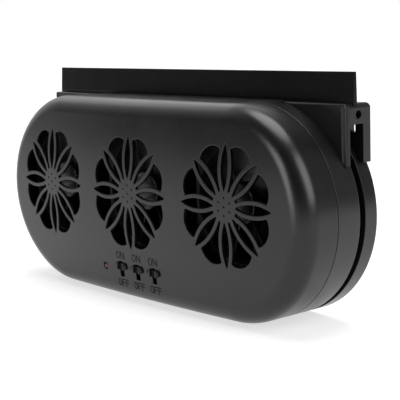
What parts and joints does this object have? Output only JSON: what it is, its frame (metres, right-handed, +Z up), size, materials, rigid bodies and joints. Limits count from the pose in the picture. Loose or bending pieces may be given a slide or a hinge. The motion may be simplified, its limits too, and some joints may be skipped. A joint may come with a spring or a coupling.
{
  "type": "solar window ventilator",
  "caption": "Solar-powered ventilator that hangs over a car side-window glass: rounded housing with flower grilles, fans, slide switches, saddle, frame fin and outer solar shell.",
  "frame": {"origin": "centre of the footprint at the housing's straight bottom edge", "axes": "+X along the long side, to the right seen from the cabin; -Y the cabin side with the grilles; +Z up, toward the fin"},
  "size_m": [0.32, 0.0696, 0.1571],
  "materials": {
    "housing_plastic": "satin black moulded ABS, fine spark texture",
    "saddle_plastic": "satin black moulded ABS",
    "fin_plastic": "smooth near-black ABS strip",
    "fan_frame_plastic": "black glass-filled PBT",
    "impeller_plastic": "semi-gloss black PBT",
    "knob_plastic": "semi-gloss black ABS",
    "switch_body_plastic": "matte black",
    "magnet": "dull grey bonded ferrite",
    "shaft_steel": "ground steel",
    "bearing_bronze": "sintered bronze",
    "core_steel": "laminated electrical steel",
    "copper_winding": "enamelled copper wire",
    "circuit_board": "green solder mask",
    "component_plastic": "moulded black component bodies",
    "led_lens": "tinted clear epoxy, red",
    "solar_cell": "dark blue silicon with silver fingers",
    "panel_glass": "clear potting epoxy",
    "screw_steel": "zinc-plated steel",
    "foam": "closed-cell foam",
    "lead_sleeve": "PVC-sleeved two-core lead"
  },
  "bodies": {
    "housing": {"bearing_center": "bearing_bronze", "bearing_left": "bearing_bronze", "bearing_right": "bearing_bronze", "bezel_screws": "screw_steel", "board_components": "component_plastic", "board_screws": "screw_steel", "channel_fin": "fin_plastic", "control_board": "circuit_board", "cover_screws": "screw_steel", "fan_frame_center": "fan_frame_plastic", "fan_frame_left": "fan_frame_plastic", "fan_frame_right": "fan_frame_plastic", "fan_lead_center": "lead_sleeve", "fan_lead_left": "lead_sleeve", "fan_lead_right": "lead_sleeve", "fan_screws": "screw_steel", "front_cover": "housing_plastic", "glass_edge_pad": "foam", "indicator_led": "led_lens", "inner_rear_cover": "housing_plastic", "motor_board_center": "circuit_board", "motor_board_left": "circuit_board", "motor_board_right": "circuit_board", "outer_cover": "housing_plastic", "rear_bezel": "housing_plastic", "saddle_screws": "screw_steel", "solar_backing": "circuit_board", "solar_cells": "solar_cell", "solar_glass": "panel_glass", "solar_lead": "lead_sleeve", "stator_coils_center": "copper_winding", "stator_coils_left": "copper_winding", "stator_coils_right": "copper_winding", "stator_core_center": "core_steel", "stator_core_left": "core_steel", "stator_core_right": "core_steel", "switch_bodies": "switch_body_plastic", "window_saddle": "saddle_plastic"},
    "impeller_left": {"impeller_left": "impeller_plastic", "rotor_magnet_left": "magnet", "shaft_left": "shaft_steel"},
    "switch_left": {"switch_knob_left": "knob_plastic"},
    "impeller_center": {"impeller_center": "impeller_plastic", "rotor_magnet_center": "magnet", "shaft_center": "shaft_steel"},
    "switch_center": {"switch_knob_center": "knob_plastic"},
    "impeller_right": {"impeller_right": "impeller_plastic", "rotor_magnet_right": "magnet", "shaft_right": "shaft_steel"},
    "switch_right": {"switch_knob_right": "knob_plastic"}
  },
  "joints": [
    {"name": "fan_spin_left", "type": "hinge", "parent": "housing", "child": "impeller_left", "pos_m": [-0.095, -0.0138, 0.0765], "axis": [0, 1, 0], "continuous": true},
    {"name": "fan_spin_center", "type": "hinge", "parent": "housing", "child": "impeller_center", "pos_m": [0, -0.0138, 0.0765], "axis": [0, 1, 0], "continuous": true},
    {"name": "fan_spin_right", "type": "hinge", "parent": "housing", "child": "impeller_right", "pos_m": [0.095, -0.0138, 0.0765], "axis": [0, 1, 0], "continuous": true},
    {"name": "switch_slide_left", "type": "slide", "parent": "housing", "child": "switch_left", "axis": [0, 0, -1], "range_m": [0, 0.0043]},
    {"name": "switch_slide_center", "type": "slide", "parent": "housing", "child": "switch_center", "axis": [0, 0, -1], "range_m": [0, 0.0043]},
    {"name": "switch_slide_right", "type": "slide", "parent": "housing", "child": "switch_right", "axis": [0, 0, -1], "range_m": [0, 0.0043]}
  ]
}
